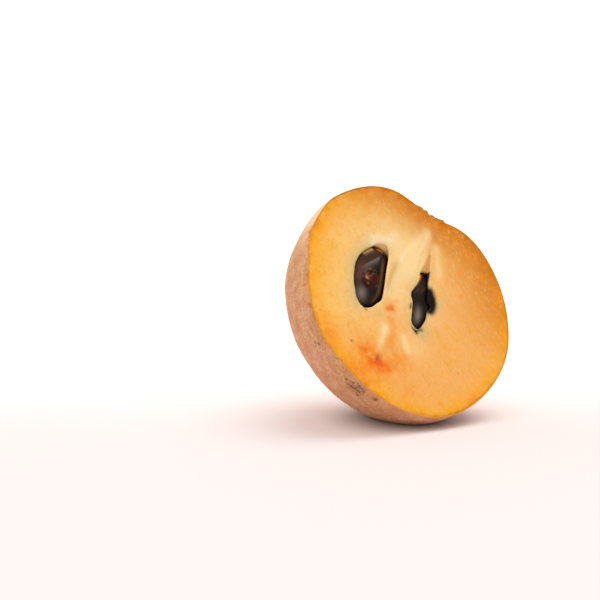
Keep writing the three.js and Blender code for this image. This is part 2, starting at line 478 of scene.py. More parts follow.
def seed_points(unit, gap):
    """Moves a unit sphere onto the form of a seed, grown on all sides by a gap."""
    blunt = np.abs(unit[:, :2]) ** SEED_BLUNTNESS
    reach = blunt.sum(axis=1) + np.abs(unit[:, 2]) ** SEED_ROUNDNESS
    part = unit / (reach ** (1 / SEED_BLUNTNESS))[:, None]
    facet = np.clip(part[:, 0] - 0.62, 0, None)
    thick = part[:, 2] * (1 - 0.75 * facet)
    upper = np.clip(part[:, 1], 0, None)
    crest = SEED_CREST_SHIFT * upper ** 2 * (1 - part[:, 0] ** 2)
    shoulder = SEED_SHOULDER * upper ** 3 * part[:, 0] ** 2
    bulge = SEED_BULGE * np.clip(part[:, 0], 0, None) ** 2
    return np.stack([
        part[:, 0] * (SEED_WIDTH / 2 + gap) + crest + shoulder + bulge,
        part[:, 1] * (SEED_LENGTH / 2 + gap),
        thick * (SEED_THICKNESS / 2 + gap),
    ], axis=1)


def seed_body(name, gap, sides, rings):
    bpy.ops.object.select_all(action="DESELECT")
    bpy.ops.mesh.primitive_uv_sphere_add(segments=sides // 4, ring_count=rings // 4, radius=1)
    seed = bpy.context.object
    seed.name = name
    apply_modifier(seed, "SUBSURF", subdivision_type="SIMPLE", levels=2, render_levels=2)
    ball = steady_points(seed, BALL_STEP)
    ball = ball / np.linalg.norm(ball, axis=1)[:, None]
    poles_along_y = np.stack([ball[:, 0], ball[:, 2], -ball[:, 1]], axis=1)
    write_points(seed, seed_points(poles_along_y, gap))
    return seed


# Marks, as soft spots and strokes in millimetres on the cut face

def blob(spot, x, y, width, height=None, turn=0.0):
    """1 at (x, y) and 0 away from it, over a patch of the given half sizes."""
    height = height or width
    cos, sin = math.cos(math.radians(turn)), math.sin(math.radians(turn))
    across = (spot[:, 0] - x) * cos + (spot[:, 1] - y) * sin
    along = (spot[:, 1] - y) * cos - (spot[:, 0] - x) * sin
    return np.exp(-(across / width) ** 2 - (along / height) ** 2)


def spots(points, marks):
    """Soft spots laid over each other, each with its strength and then what blob asks for."""
    return sum(strength * blob(points, *place) for strength, *place in marks)


def stroke(spot, path, width, fade=0.2):
    """1 along a path of points, thinning out over a part of its length at both ends."""
    path = np.array(path, float)
    lines = np.diff(path, axis=0)
    lengths = np.linalg.norm(lines, axis=1)
    nearest = np.full(len(spot), FAR / MM)
    part_of_path = np.zeros(len(spot))
    passed = 0.0
    for start, line, size in zip(path, lines, lengths):
        part = np.clip(((spot[:, :2] - start) @ line) / size ** 2, 0, 1)
        away = np.linalg.norm(spot[:, :2] - start - part[:, None] * line, axis=1)
        closer = away < nearest
        nearest = np.where(closer, away, nearest)
        part_of_path = np.where(closer, (passed + part * size) / lengths.sum(), part_of_path)
        passed += size
    ends = smooth_step(0, fade, part_of_path) * smooth_step(0, fade, 1 - part_of_path)
    return np.exp(-(nearest / width) ** 2) * ends


def smooth_loop(corners, steps):
    """A closed smooth line through the corners."""
    loop = []
    count = len(corners)
    for index in range(count):
        before, start, end, after = (np.array(corners[(index + shift) % count]) for shift in (-1, 0, 1, 2))
        for step in range(steps):
            t = step / steps
            bend = 2 * before - 5 * start + 4 * end - after
            curl = 3 * start - before - 3 * end + after
            loop.append(0.5 * (2 * start + (end - before) * t + bend * t ** 2 + curl * t ** 3))
    return np.array(loop)


def loop_distance(spot, outline, place):
    """Distance from each point to an outline that is turned with the seeds, negative inside it."""
    cos, sin = math.cos(SEED_ROLL), math.sin(SEED_ROLL)
    loop = smooth_loop(outline, 4) @ np.array([[cos, sin], [-sin, cos]]) + np.array(place)
    nearest = np.full(len(spot), FAR / MM)
    inside = np.zeros(len(spot), bool)
    for start, end in zip(loop, np.roll(loop, -1, axis=0)):
        line = end - start
        part = np.clip(((spot[:, :2] - start) @ line) / (line @ line), 0, 1)
        away = np.linalg.norm(spot[:, :2] - start - part[:, None] * line, axis=1)
        nearest = np.minimum(nearest, away)
        crosses = (start[1] > spot[:, 1]) != (end[1] > spot[:, 1])
        rise = np.where(crosses, (spot[:, 1] - start[1]) / (line[1] or 1e-9), 0)
        inside ^= crosses & (spot[:, 0] < start[0] + rise * line[0])
    return np.where(inside, -nearest, nearest)


# Flesh

def mouth_cutter(name, outline, place, floor_depth):
    """A block with the mouth's outline, from floor_depth(y) under the cut to well past it."""
    floor = [(x * MM, y * MM, CUT_OFFSET - floor_depth(y) * MM) for x, y in smooth_loop(outline, 3)]
    mesh = bpy.data.meshes.new(name)
    mesh.from_pydata(floor, [], [range(len(floor))])
    cutter = bpy.data.objects.new(name, mesh)
    bpy.context.scene.collection.objects.link(cutter)
    only(cutter)
    bpy.ops.object.mode_set(mode="EDIT")
    bpy.ops.mesh.select_all(action="SELECT")
    bpy.ops.mesh.extrude_region_move(TRANSFORM_OT_translate={"value": (0, 0, 8 * MM)})
    bpy.ops.mesh.select_all(action="SELECT")
    bpy.ops.mesh.quads_convert_to_tris()
    bpy.ops.mesh.normals_make_consistent(inside=False)
    bpy.ops.object.mode_set(mode="OBJECT")
    x, y = place
    cutter.data.transform(Matrix.Translation((x * MM, y * MM, 0)) @ Matrix.Rotation(SEED_ROLL, 4, "Z"))
    return cutter


def pocket_cutters():
    cutters = []
    for name, matrix in SEEDS.items():
        pocket = seed_body("pocket_" + name, SEED_GAP, 64, 48)
        pocket.data.transform(matrix)
        cutters.append(pocket)
    cutters.append(mouth_cutter("mouth_left", LEFT_MOUTH, LEFT_MOUTH_PLACE,
                                lambda y: 2.4 - 1.9 * max(0, y - 10) / 2.2))
    cutters.append(mouth_cutter("mouth_right", RIGHT_MOUTH, RIGHT_MOUTH_PLACE,
                                lambda y: 0.4 + 3.6 * min(1, (18.8 - y) / 9)))
    return cutters


def flesh_inset(direction):
    """The flesh reaches a little way into the skin, so that no gap shows between them."""
    return skin_depth(direction) - 0.6 * bpy.context.scene.sapodilla_skin.thickness


def flesh_body():
    """The flesh inside the skin, with both seed pockets, as one evenly meshed body."""
    body = fruit_bowl("flesh", flesh_inset, 256, 64)
    close_rim(body, bridge=False)
    for cutter in pocket_cutters():
        apply_modifier(body, "BOOLEAN", operation="DIFFERENCE", solver="EXACT", object=cutter)
        bpy.data.objects.remove(cutter)
    apply_modifier(body, "REMESH", mode="VOXEL", voxel_size=FLESH_VOXEL)
    apply_modifier(body, "SMOOTH", factor=0.5, iterations=2)
    write_points(body, steady_points(body, POINT_STEP))
    return body


def thin_hidden_side(obj):
    """Fewer faces where the flesh lies under the skin."""
    points = read_points(obj)
    radius = np.linalg.norm(points, axis=1)
    under_skin = fruit_radius(points / radius[:, None]) - radius < 2.2 * MM
    hidden = under_skin & (CUT_OFFSET - points[:, 2] > 1.5 * MM)
    group = obj.vertex_groups.new(name="hidden")
    group.add(np.flatnonzero(hidden).tolist(), 1, "REPLACE")
    apply_modifier(obj, "DECIMATE", decimate_type="COLLAPSE", ratio=0.45, vertex_group=group.name)
    obj.vertex_groups.clear()


def cut_face_radius(turn):
    """How far the skin is from the middle within the cut face, for an angle round it."""
    angle = rim_angle(turn, no_inset)
    return fruit_radius(bowl_directions(turn, angle)) * np.sin(angle)


# The core's fold beside the left seed, from the stem end down: a low ridge with a painted highlight along its
# crest, and painted shade on its side
FOLD = [(-8.3, 15.4), (-7.4, 12.1), (-8.0, 8.4), (-7.4, 2.1), (-6.8, -4.6)]
FOLD_SHADE = [(-8.6, 10.5), (-8.5, 5.0), (-8.1, 0.5), (-7.5, -4.2)]
# Pale strokes of the core: path, width, strength
CORE_STROKES = [
    ([(-3.6, 27.0), (-6.0, 17.0), (-7.6, 8.0)], 1.4, 0.45),
    ([(-3.2, 26.5), (-3.4, 16.0), (-4.2, 5.0)], 0.8, 0.45),
    ([(-2.6, 25.0), (-1.4, 16.0), (-0.6, 10.0)], 0.7, 0.35),
    ([(-0.2, 23.5), (3.0, 17.5), (7.0, 11.0)], 1.6, 0.55),
    ([(-2.9, -11.0), (-2.5, -17.5), (-1.7, -23.6)], 1.0, 0.85),
    ([(2.3, -11.4), (5.0, -14.5), (8.2, -16.8)], 1.3, 0.60),
    ([(-4.8, -11.5), (-3.0, -17.4)], 1.2, 0.30),
]
# The palest flesh, in an arc over the left seed
PALE_ARC = [(-22, 4.5), (-17.5, 10.5), (-12.5, 14.8), (-8.5, 16.5)]

# Soft spots on the cut face: strength, place, half width, half height and turn in degrees
CREAM_SPOTS = [
    (0.65, -7.5, 13, 5.5, 9),
    (0.50, -3.5, 6, 4, 12),
    (0.50, -13, -3, 9.5, 14, -15),
    (0.35, 6, 2, 7.5, 12, -15),
    (0.35, 8.5, -13, 4.5),
    (0.25, -26, 7, 6),
    (0.35, -18, 17, 6, 4, 20),
]
STAIN_SPOTS = [
    (0.95, 0.3, -24.8, 5.6, 3.0, 12),
    (0.75, -6.0, -23.2, 4.2, 3.4),
    (0.65, 5.6, -20.0, 4.2, 3.0),
    (0.85, -4.1, -7.4, 2.1, 2.6),
    (0.55, -2, -28.5, 7, 3.4),
    (0.25, -2.3, 3.1, 2.0),
    (0.70, 27.0, 20.6, 1.6, 3.4, 35),
    (0.75, 33.2, -15.4, 1.6, 3.6, -22),
    (0.50, 12.8, -27.0, 2.6, 1.6),
    (0.90, -4.5, -32.0, 5.0, 2.6, -15),
    (0.80, -17.5, -27.0, 4.5, 2.4, -40),
    (0.40, -36.5, 3.0, 2.0, 4.5),
]
SMALL_STAINS = [
    (0.55, 8.7, 14.0, 0.6, 2.2),
    (0.45, 11.5, 19.0, 0.9, 2.8),
    (0.55, 11.8, 26.0, 1.6, 1.6),
    (0.50, 24.2, -11.4, 0.5),
]
STAIN_PATH = [(-3.4, -8.0), (-1.6, -12.0), (0.4, -15.0), (1.0, -20.0)]
BLUSH_SPOTS = [
    (0.95, -1.0, -25.7, 2.6, 2.1),
    (0.55, 2.6, -24.6, 3.4, 1.5, 20),
    (0.50, -5.4, -24.2, 2.2, 1.2),
]
CORE_BLUSH = (0.98, -4.2, -6.9, 1.2, 1.5)
SPECK_SPOTS = [
    (0.95, -10.8, -24.3, 0.38),
    (0.65, -1.3, -24.2, 0.6, 0.9),
    (0.35, 0.3, -24.3, 0.4),
]
# Dull flesh away from the edges of the pockets
MARGIN_SPOTS = [
    (0.55, 8.6, -7.4, 2.4, 2.2),
    (0.40, 9.6, 4.6, 1.2, 4.0, -15),
    (0.35, -6.5, -10.8, 1.8),
]


def rim_masks(points, wobble):
    turn = np.arctan2(points[:, 1], points[:, 0])
    from_skin = np.clip(cut_face_radius(turn) / MM - np.linalg.norm(points[:, :2], axis=1), 0, None)
    rough = from_skin + 0.9 * wobble[:, 2] * smooth_step(0.5, 3.0, from_skin)
    width = 5.6 + 1.9 * np.cos(turn - math.radians(165))
    facing_stem = np.cos(turn - math.radians(90))
    return {
        "rim": np.exp(-(np.clip(rough, 0, None) / width) ** 1.35),
        "ochre": smooth_step(0.0, 0.85, facing_stem),
        "wash": smooth_step(0.1, 0.9, np.cos(turn - math.radians(72))) * np.exp(-(rough / 15) ** 2),
        "deep": 0.75 * np.exp(-(from_skin / (1.1 + 0.6 * wobble[:, 1])) ** 2),
        "sunny": smooth_step(11, -20, points[:, 0] - 0.4 * points[:, 1] + 2.0 * wobble[:, 0]),
    }


def core_masks(points, wobble):
    spot = points + 0.8 * wobble
    fine = points + 0.2 * wobble
    cream = spots(spot, CREAM_SPOTS)
    for path, width, strength in CORE_STROKES:
        cream += strength * stroke(fine, path, width)
    white = 0.9 * stroke(spot, PALE_ARC, 2.2, 0.35)
    white += 0.8 * stroke(fine, FOLD, 0.38, 0.15)
    return {
        "cream": cream,
        "white": white,
        "fold": 0.9 * stroke(fine, FOLD_SHADE, 1.0, 0.3),
    }


def stain_masks(points, wobble):
    spot = points + 1.0 * wobble
    fine = points + 0.35 * wobble
    stain = spots(spot, STAIN_SPOTS) + spots(fine, SMALL_STAINS) + 0.65 * stroke(spot, STAIN_PATH, 1.5)
    blush = spots(spot, BLUSH_SPOTS) + spots(fine, [CORE_BLUSH])
    speck = spots(fine, SPECK_SPOTS)
    return {"stain": stain, "blush": blush, "speck": speck}


# Dark crumbled fibres at the blossom ends of the seeds, in the frames of their mouths
LEFT_SMUDGE = [(-1.2, -11.0), (0.9, -11.6)]
RIGHT_SMUDGES = [
    [(-3.2, -8.2), (-2.2, -10.1), (-0.4, -10.8), (1.4, -10.0), (2.2, -8.4)],
    [(-1.4, -10.6), (0.4, -12.0)],
    [(-4.0, -2.2), (-3.9, -5.0)],
]


def mouth_frame(points, place):
    """Points on the cut face in the frame of a mouth, in millimetres."""
    cos, sin = math.cos(SEED_ROLL), math.sin(SEED_ROLL)
    return (points[:, :2] - np.array(place)) @ np.array([[cos, -sin], [sin, cos]])


class Pockets:
    """How deep each point is, and where it lies to both mouths, in millimetres."""

    def __init__(self, points):
        self.depth = CUT_OFFSET / MM - points[:, 2]
        self.left = loop_distance(points, LEFT_MOUTH, LEFT_MOUTH_PLACE)
        self.right = loop_distance(points, RIGHT_MOUTH, RIGHT_MOUTH_PLACE)
        self.in_left = mouth_frame(points, LEFT_MOUTH_PLACE)
        self.in_right = mouth_frame(points, RIGHT_MOUTH_PLACE)


def mouth_margin(points, pockets):
    """Dull flesh round the pockets, widest left of the left one."""
    from_left = np.clip(pockets.left, 0, None)
    from_right = np.clip(pockets.right, 0, None)
    margin = 0.85 * np.exp(-(from_left / 2.7) ** 1.3) * smooth_step(-1, -4, pockets.in_left[:, 0])
    margin += 0.30 * np.exp(-(from_left / 1.3) ** 1.2)
    margin += 0.60 * np.exp(-(from_right / 1.7) ** 1.2) * smooth_step(9, 5, pockets.in_right[:, 1])
    return margin + spots(points, MARGIN_SPOTS)


def mouth_edge_highlight(pockets):
    """A painted highlight along the knife edge on the right side of both mouths."""
    left_edge_highlight = np.exp(-((pockets.left + 0.1) / 0.28) ** 2) * smooth_step(3.0, 4.4, pockets.in_left[:, 0])
    right_edge_highlight = np.exp(-((pockets.right + 0.1) / 0.25) ** 2) * smooth_step(0, 0.8, pockets.in_right[:, 0])
    return left_edge_highlight + 0.8 * right_edge_highlight * smooth_step(5, 7, pockets.in_right[:, 1])


def dark_fibres(pockets, wobble):
    """The dark left edge of the left mouth, and the crumbled fibres below both seeds."""
    dark = 0.9 * np.exp(-(np.abs(pockets.left) / 0.22) ** 2) * smooth_step(-2, -4, pockets.in_left[:, 0])
    crumbled = np.clip(0.85 + 1.1 * wobble[:, 2], 0, 1)
    for smudge in RIGHT_SMUDGES:
        dark += 0.8 * crumbled * stroke(pockets.in_right + 0.4 * wobble[:, :2], smudge, 0.44, 0.3)
    return dark + 0.6 * crumbled * stroke(pockets.in_left + 0.4 * wobble[:, :2], LEFT_SMUDGE, 0.35, 0.3)


def glowing_wall(pockets):
    """The right wall of the left pocket, where light comes through its edge."""
    wall = smooth_step(-0.9, -0.4, pockets.left) * smooth_step(0.6, 0.3, pockets.left)
    wall *= smooth_step(0.08, 0.25, pockets.depth) * smooth_step(1.2, 0.6, pockets.depth)
    wall *= smooth_step(3.4, 4.2, pockets.in_left[:, 0]) * smooth_step(9.6, 8, pockets.in_left[:, 1])
    return wall * (0.45 + 0.55 * smooth_step(2, 7, pockets.in_left[:, 1]))


def slot_wall(pockets):
    """The wall of the right mouth's narrow end, above the seed, painted paler and glowing as painted light
    that comes through the thin flesh.
    """
    past_seed = smooth_step(9.4, 10.0, pockets.in_right[:, 1] - pockets.in_right[:, 0])
    return past_seed * smooth_step(1.5, 0.8, pockets.right) * smooth_step(0.1, 0.5, pockets.depth)


def dark_wall(pockets):
    """Walls that lie in the seeds' own shade."""
    beside_seed = smooth_step(9.9, 9.4, pockets.in_right[:, 1] - pockets.in_right[:, 0])
    left = smooth_step(9.5, 7.5, pockets.in_left[:, 1]) * smooth_step(0.2, 0.6, pockets.depth)
    right = beside_seed * smooth_step(0.15, 0.4, pockets.depth)
    return left * (pockets.left < 1) + right * (pockets.right < 0.35)


def pocket_masks(points, wobble):
    pockets = Pockets(points)
    depth = pockets.depth
    on_face = smooth_step(0.9, 0.25, depth)
    shadow = loop_distance(points + 0.25 * wobble, SHADOW, RIGHT_MOUTH_PLACE)
    seen_through = smooth_step(1.2, -0.8, shadow) * smooth_step(4.0, 3.0, depth)
    slot = slot_wall(pockets)
    return {
        "margin": mouth_margin(points, pockets) * on_face,
        # Painted highlight along the knife edges of the mouths
        "edge_highlight": mouth_edge_highlight(pockets) * on_face,
        "dark": dark_fibres(pockets, wobble) * on_face + seen_through,
        "ember": 0.8 * glowing_wall(pockets),
        "wall": smooth_step(0.15, 0.7, depth),
        "slot": slot,
        # Painted shade deep in the pockets and on the walls beside the seeds
        "depth": (smooth_step(1.6, 4.0, depth) + 0.97 * dark_wall(pockets)) * (1 - slot),
    }


def uneven(points):
    """Three smooth noises for each point, which push marks about so that their edges are uneven."""
    coarse = np.stack([noise_at(points, 2.6, seed) for seed in (31, 32, 33)], axis=1)
    fine = np.stack([noise_at(points, 0.9, seed) for seed in (34, 35, 36)], axis=1)
    return coarse + 0.4 * fine


def paint_flesh(obj):
    """Masks over the flesh: how ripe, pale, stained or shaded each place is."""
    points = read_points(obj) / MM
    wobble = uneven(points)
    for masks in (rim_masks, core_masks, stain_masks, pocket_masks):
        for name, values in masks(points, wobble).items():
            write_mask(obj, name, values)
    write_grain(obj, points * MM)


def raise_flesh(obj):
    """Relief of the cut: broad unevenness, fine grain, and the core's fold and strokes."""
    look = bpy.context.scene.sapodilla_flesh
    points = read_points(obj)
    on_face = smooth_step(-0.5 * MM, -0.1 * MM, points[:, 2] - CUT_OFFSET)
    spot = points / MM
    broad = noise_at(points, 7 * MM, 1) * look.swell_height
    fine = noise_at(points, 1.1 * MM, 2) + 0.6 * noise_at(points, 0.55 * MM, 3)
    height = broad - look.swell_height * 0.6 + fine * look.grain_height
    for path, width, strength in CORE_STROKES:
        height += 0.10 * MM * strength * stroke(spot, path, width)
    height += 0.12 * MM * stroke(spot, FOLD, 0.5) - 0.15 * MM * stroke(spot, FOLD_SHADE, 1.0, 0.3)
    points[:, 2] += height * on_face
    write_points(obj, points)


# Materials

def new_material(name):
    material = bpy.data.materials.new(name)
    material.use_nodes = True
    tree = material.node_tree
    tree.nodes.clear()
    return material, tree


def feed(tree, socket, value):
    """Sets a socket to a number or colour, or links it to the socket that feeds it."""
    if isinstance(value, bpy.types.NodeSocket):
        tree.links.new(value, socket)
    elif socket.type == "RGBA":
        socket.default_value = (*value[:3], 1.0)
    else:
        socket.default_value = value


def put(tree, kind, inputs=None, **settings):
    """A node with its settings, whose inputs are values or the sockets that feed them."""
    node = tree.nodes.new(kind)
    for name, value in settings.items():
        setattr(node, name, value)
    for name, value in (inputs or {}).items():
        feed(tree, node.inputs[name], value)
    return node


def mask(tree, name):
    return put(tree, "ShaderNodeAttribute", attribute_name=name).outputs["Fac"]


def grain(tree):
    return put(tree, "ShaderNodeAttribute", attribute_name="grain").outputs["Vector"]


def blend(tree, factor, under, over, mode="MIX"):
    node = put(tree, "ShaderNodeMix", data_type="RGBA", blend_type=mode)
    for socket, value in zip((node.inputs["Factor"], node.inputs[6], node.inputs[7]), (factor, under, over)):
        feed(tree, socket, value)
    return node.outputs[2]


def overlay(tree, shade, look, names):
    """Lays colours over the shade, each where the mask of its own name says."""
    for name in names:
        shade = blend(tree, mask(tree, name), shade, getattr(look, name))
    return shade


def maths(tree, operation, first, second=0.0):
    node = put(tree, "ShaderNodeMath", operation=operation)
    feed(tree, node.inputs[0], first)
    feed(tree, node.inputs[1], second)
    return node.outputs[0]


def times(tree, first, second):
    return maths(tree, "MULTIPLY", first, second)


def ramp(tree, factor, low, high):
    """0 below low and 1 above high, or the other way round where low is the higher one."""
    node = put(tree, "ShaderNodeMapRange", {"Value": factor, "From Min": low, "From Max": high},
               interpolation_type="SMOOTHSTEP")
    return node.outputs["Result"]


def cloud(tree, vector, size, detail=3.0, roughness=0.55):
    """Noise whose patches are about the given size."""
    node = put(tree, "ShaderNodeTexNoise", {"Vector": vector, "Scale": 0.5 / size, "Detail": detail,
                                            "Roughness": roughness})
    return node.outputs["Fac"]


def finish_material(material, tree, **inputs):
    shader = put(tree, "ShaderNodeBsdfPrincipled")
    for name, value in inputs.items():
        feed(tree, shader.inputs[name.replace("_", " ")], value)
    put(tree, "ShaderNodeOutputMaterial", {"Surface": shader.outputs[0]})
    return material


def flesh_flecks_and_glints(tree, vector):
    """Short pale dashes, all lying the same way: partly fibre and partly painted wet glints."""
    laid = put(tree, "ShaderNodeMapping", {"Vector": vector, "Rotation": (0, 0, math.radians(-29)),
                                           "Scale": (2.6, 1.0, 1.0)}, vector_type="TEXTURE")
    cells = put(tree, "ShaderNodeTexVoronoi", {"Vector": laid.outputs["Vector"], "Scale": 1500.0})
    dash = ramp(tree, cells.outputs["Distance"], 0.40, 0.08)
    return times(tree, dash, ramp(tree, cloud(tree, vector, 1.0 * MM, 2.0), 0.44, 0.62))


def flesh_streaks(tree, vector):
    """Faint drawn-out streaks that run the way of the knife."""
    laid = put(tree, "ShaderNodeMapping", {"Vector": vector, "Rotation": (0, 0, math.radians(-29)),
                                           "Scale": (5.0, 1.0, 1.0)}, vector_type="TEXTURE")
    return cloud(tree, laid.outputs["Vector"], 0.45 * MM, 3.0)


def flesh_material():
    look = bpy.context.scene.sapodilla_flesh
    material, tree = new_material("sapodilla_flesh")
    vector = grain(tree)
    soft = cloud(tree, vector, 2.4 * MM, 4.0)
    patch = cloud(tree, vector, 0.9 * MM, 3.0, 0.6)
    fine = cloud(tree, vector, 0.40 * MM, 3.0)
    mottle = ramp(tree, soft, 0.30, 0.68)
    shade = blend(tree, mask(tree, "sunny"), look.peach, look.sunny)
    shade = blend(tree, times(tree, mask(tree, "wash"), 0.75), shade, look.ochre)
    edge = blend(tree, mask(tree, "ochre"), look.gold, look.ochre)
    ripe = times(tree, mask(tree, "rim"), maths(tree, "ADD", times(tree, mottle, 0.50), 0.68))
    ripe = maths(tree, "ADD", ripe, times(tree, ramp(tree, patch, 0.54, 0.72), 0.22))
    shade = blend(tree, maths(tree, "MINIMUM", ripe, 1.0), shade, edge)
    deep = times(tree, mask(tree, "deep"), ramp(tree, soft, 0.42, 0.62))
    shade = blend(tree, deep, shade, look.deep)
    shade = blend(tree, times(tree, ramp(tree, patch, 0.50, 0.68), 0.48), shade, look.amber)
    streak = ramp(tree, flesh_streaks(tree, vector), 0.52, 0.72)
    inner = maths(tree, "SUBTRACT", 1.0, mask(tree, "rim"))
    shade = blend(tree, times(tree, times(tree, streak, inner), 0.30), shade, look.sunny)
    # The palest flesh, with the painted highlight on the fold's crest
    shade = overlay(tree, shade, look, ("cream", "white"))
    freckle = ramp(tree, cloud(tree, vector, 1.0 * MM, 3.0), 0.58, 0.72)
    shade = blend(tree, times(tree, freckle, 0.30), shade, look.amber)
    # Painted shade on the side of the core's fold
    shade = overlay(tree, shade, look, ("fold",))
    patchy = ramp(tree, cloud(tree, vector, 1.2 * MM, 3.0), 0.20, 0.58)
    shade = blend(tree, times(tree, mask(tree, "stain"), patchy), shade, look.stain)
    shade = blend(tree, times(tree, mask(tree, "blush"), patchy), shade, look.blush)
    shade = overlay(tree, shade, look, ("margin",))
    flecks_and_glints = flesh_flecks_and_glints(tree, vector)
    # Pale fibre dashes that are also painted wet glints
    shade = blend(tree, times(tree, flecks_and_glints, 0.27), shade, look.white)
    shade = blend(tree, ramp(tree, fine, 0.50, 0.72), shade, look.grime, "MULTIPLY")
    # The pocket walls, then the slot's painted light, then the painted shade deep in the pockets
    shade = overlay(tree, shade, look, ("wall", "slot", "depth"))
    # Painted highlight along the knife edges of the mouths, in the palest colour
    shade = blend(tree, mask(tree, "edge_highlight"), shade, look.white)
    shade = overlay(tree, shade, look, ("speck",))
    # The shadow colour lays the real dark fibres, and painted shade where the right seed lies under thin
    # flesh
    shade = blend(tree, mask(tree, "dark"), shade, look.shadow)
    height = maths(tree, "ADD", times(tree, fine, 0.6), times(tree, flecks_and_glints, 0.7))
    bump = put(tree, "ShaderNodeBump", {"Height": height, "Strength": 0.3, "Distance": 0.15 * MM})
    return finish_material(
        material, tree,
        Base_Color=shade,
        Roughness=0.42,
        Subsurface_Weight=0.25,
        Subsurface_Radius=(1.0, 0.42, 0.14),
        Subsurface_Scale=1.3 * MM,
        Specular_IOR_Level=0.10,
        # Painted glow where light comes through thin flesh: the ember on the left pocket's wall, and the slot
        # over the right seed
        Emission_Color=blend(tree, mask(tree, "slot"), look.ember, look.slot),
        Emission_Strength=maths(tree, "ADD", times(tree, mask(tree, "ember"), 1.3),
                                times(tree, mask(tree, "slot"), 0.15)),
        Normal=bump.outputs["Normal"],
    )


def skin_material():
    look = bpy.context.scene.sapodilla_skin
    material, tree = new_material("sapodilla_skin")
    vector = grain(tree)
    broad = cloud(tree, vector, 6 * MM, 3.0)
    patch = cloud(tree, vector, 1.8 * MM, 4.0)
    sand = cloud(tree, vector, 0.30 * MM, 2.0, 0.6)
    dust = cloud(tree, vector, 0.38 * MM, 2.0, 0.6)
    shade = blend(tree, ramp(tree, broad, 0.36, 0.62), look.tan, look.pink)
    shade = blend(tree, times(tree, ramp(tree, patch, 0.48, 0.64), 0.38), shade, look.scurf)
    shade = blend(tree, times(tree, ramp(tree, patch, 0.46, 0.32), 0.42), shade, look.grain)
    shade = blend(tree, times(tree, ramp(tree, sand, 0.53, 0.66), 0.50), shade, look.grain)
    shade = blend(tree, times(tree, ramp(tree, sand, 0.46, 0.34), 0.35), shade, look.scurf)
    shade = blend(tree, times(tree, ramp(tree, dust, 0.56, 0.68), 0.55), shade, look.grey)
    # Painted highlight on the upper left skin, with some dry scurf, laid in the scurf colour
    shade = blend(tree, mask(tree, "pale"), shade, look.scurf)
    shade = blend(tree, times(tree, mask(tree, "scrape"), ramp(tree, sand, 0.25, 0.45)), shade, look.scrape)
    shade = overlay(tree, shade, look, ("raw",))
    dirt = cloud(tree, vector, 0.9 * MM, 4.0, 0.8)
    dark = ramp(tree, maths(tree, "ADD", dirt, times(tree, mask(tree, "scar"), 0.20)), 0.48, 0.80)
    shade = blend(tree, times(tree, dark, maths(tree, "MINIMUM", times(tree, mask(tree, "scar"), 3.0), 1.0)),
                  shade, look.scar)
    shade = blend(tree, mask(tree, "speck"), shade, look.scar)
    shade = blend(tree, mask(tree, "cut_edge"), shade, look.cut)
    shade = blend(tree, mask(tree, "crumbs"), shade, look.crumb)
    bump = put(tree, "ShaderNodeBump", {"Height": sand, "Strength": 0.5, "Distance": 0.10 * MM})
    return finish_material(
        material, tree,
        Base_Color=shade,
        Roughness=0.80,
        Subsurface_Weight=0.06,
        Subsurface_Radius=(1.0, 0.4, 0.2),
        Subsurface_Scale=0.6 * MM,
        Specular_IOR_Level=0.22,
        Normal=bump.outputs["Normal"],
    )


def seed_material():
    look = bpy.context.scene.sapodilla_seed
    material, tree = new_material("sapodilla_seed")
    vector = grain(tree)
    soft = cloud(tree, vector, 1.8 * MM, 3.0)
    shade = blend(tree, ramp(tree, soft, 0.4, 0.65), look.coat, look.worn)
    # Painted reflections on the coat, then the wet pulp with its painted glints, then the tan pith
    shade = overlay(tree, shade, look, ("facet_reflection", "strip_reflection", "sheen_reflection", "red_reflection", "pulp", "glint", "pith"))
    wet = times(tree, mask(tree, "pulp"), cloud(tree, vector, 0.50 * MM, 2.0))
    bump = put(tree, "ShaderNodeBump", {"Height": wet, "Strength": 0.9, "Distance": 0.5 * MM})
    glossy = times(tree, mask(tree, "pulp"), -0.10)
    dull = maths(tree, "ADD", times(tree, mask(tree, "matt"), 0.40), glossy)
    return finish_material(
        material, tree,
        Base_Color=shade,
        Roughness=maths(tree, "ADD", dull, 0.20),
        Specular_IOR_Level=0.11,
        Emission_Color=look.ember,
        Emission_Strength=times(tree, mask(tree, "ember"), 1.6),
        Normal=bump.outputs["Normal"],
    )


# Operators, one for each piece

class AddFlesh(bpy.types.Operator):
    """Models the flesh of the half fruit, cut face, seed pockets and all"""

    bl_idname = "sapodilla.add_flesh"
    bl_label = "Flesh"

    def execute(self, context):
        flesh = flesh_body()
        thin_hidden_side(flesh)
        raise_flesh(flesh)
        paint_flesh(flesh)
        finish_piece(flesh, "flesh", flesh_material())
        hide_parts("fruit_half")
        return {"FINISHED"}


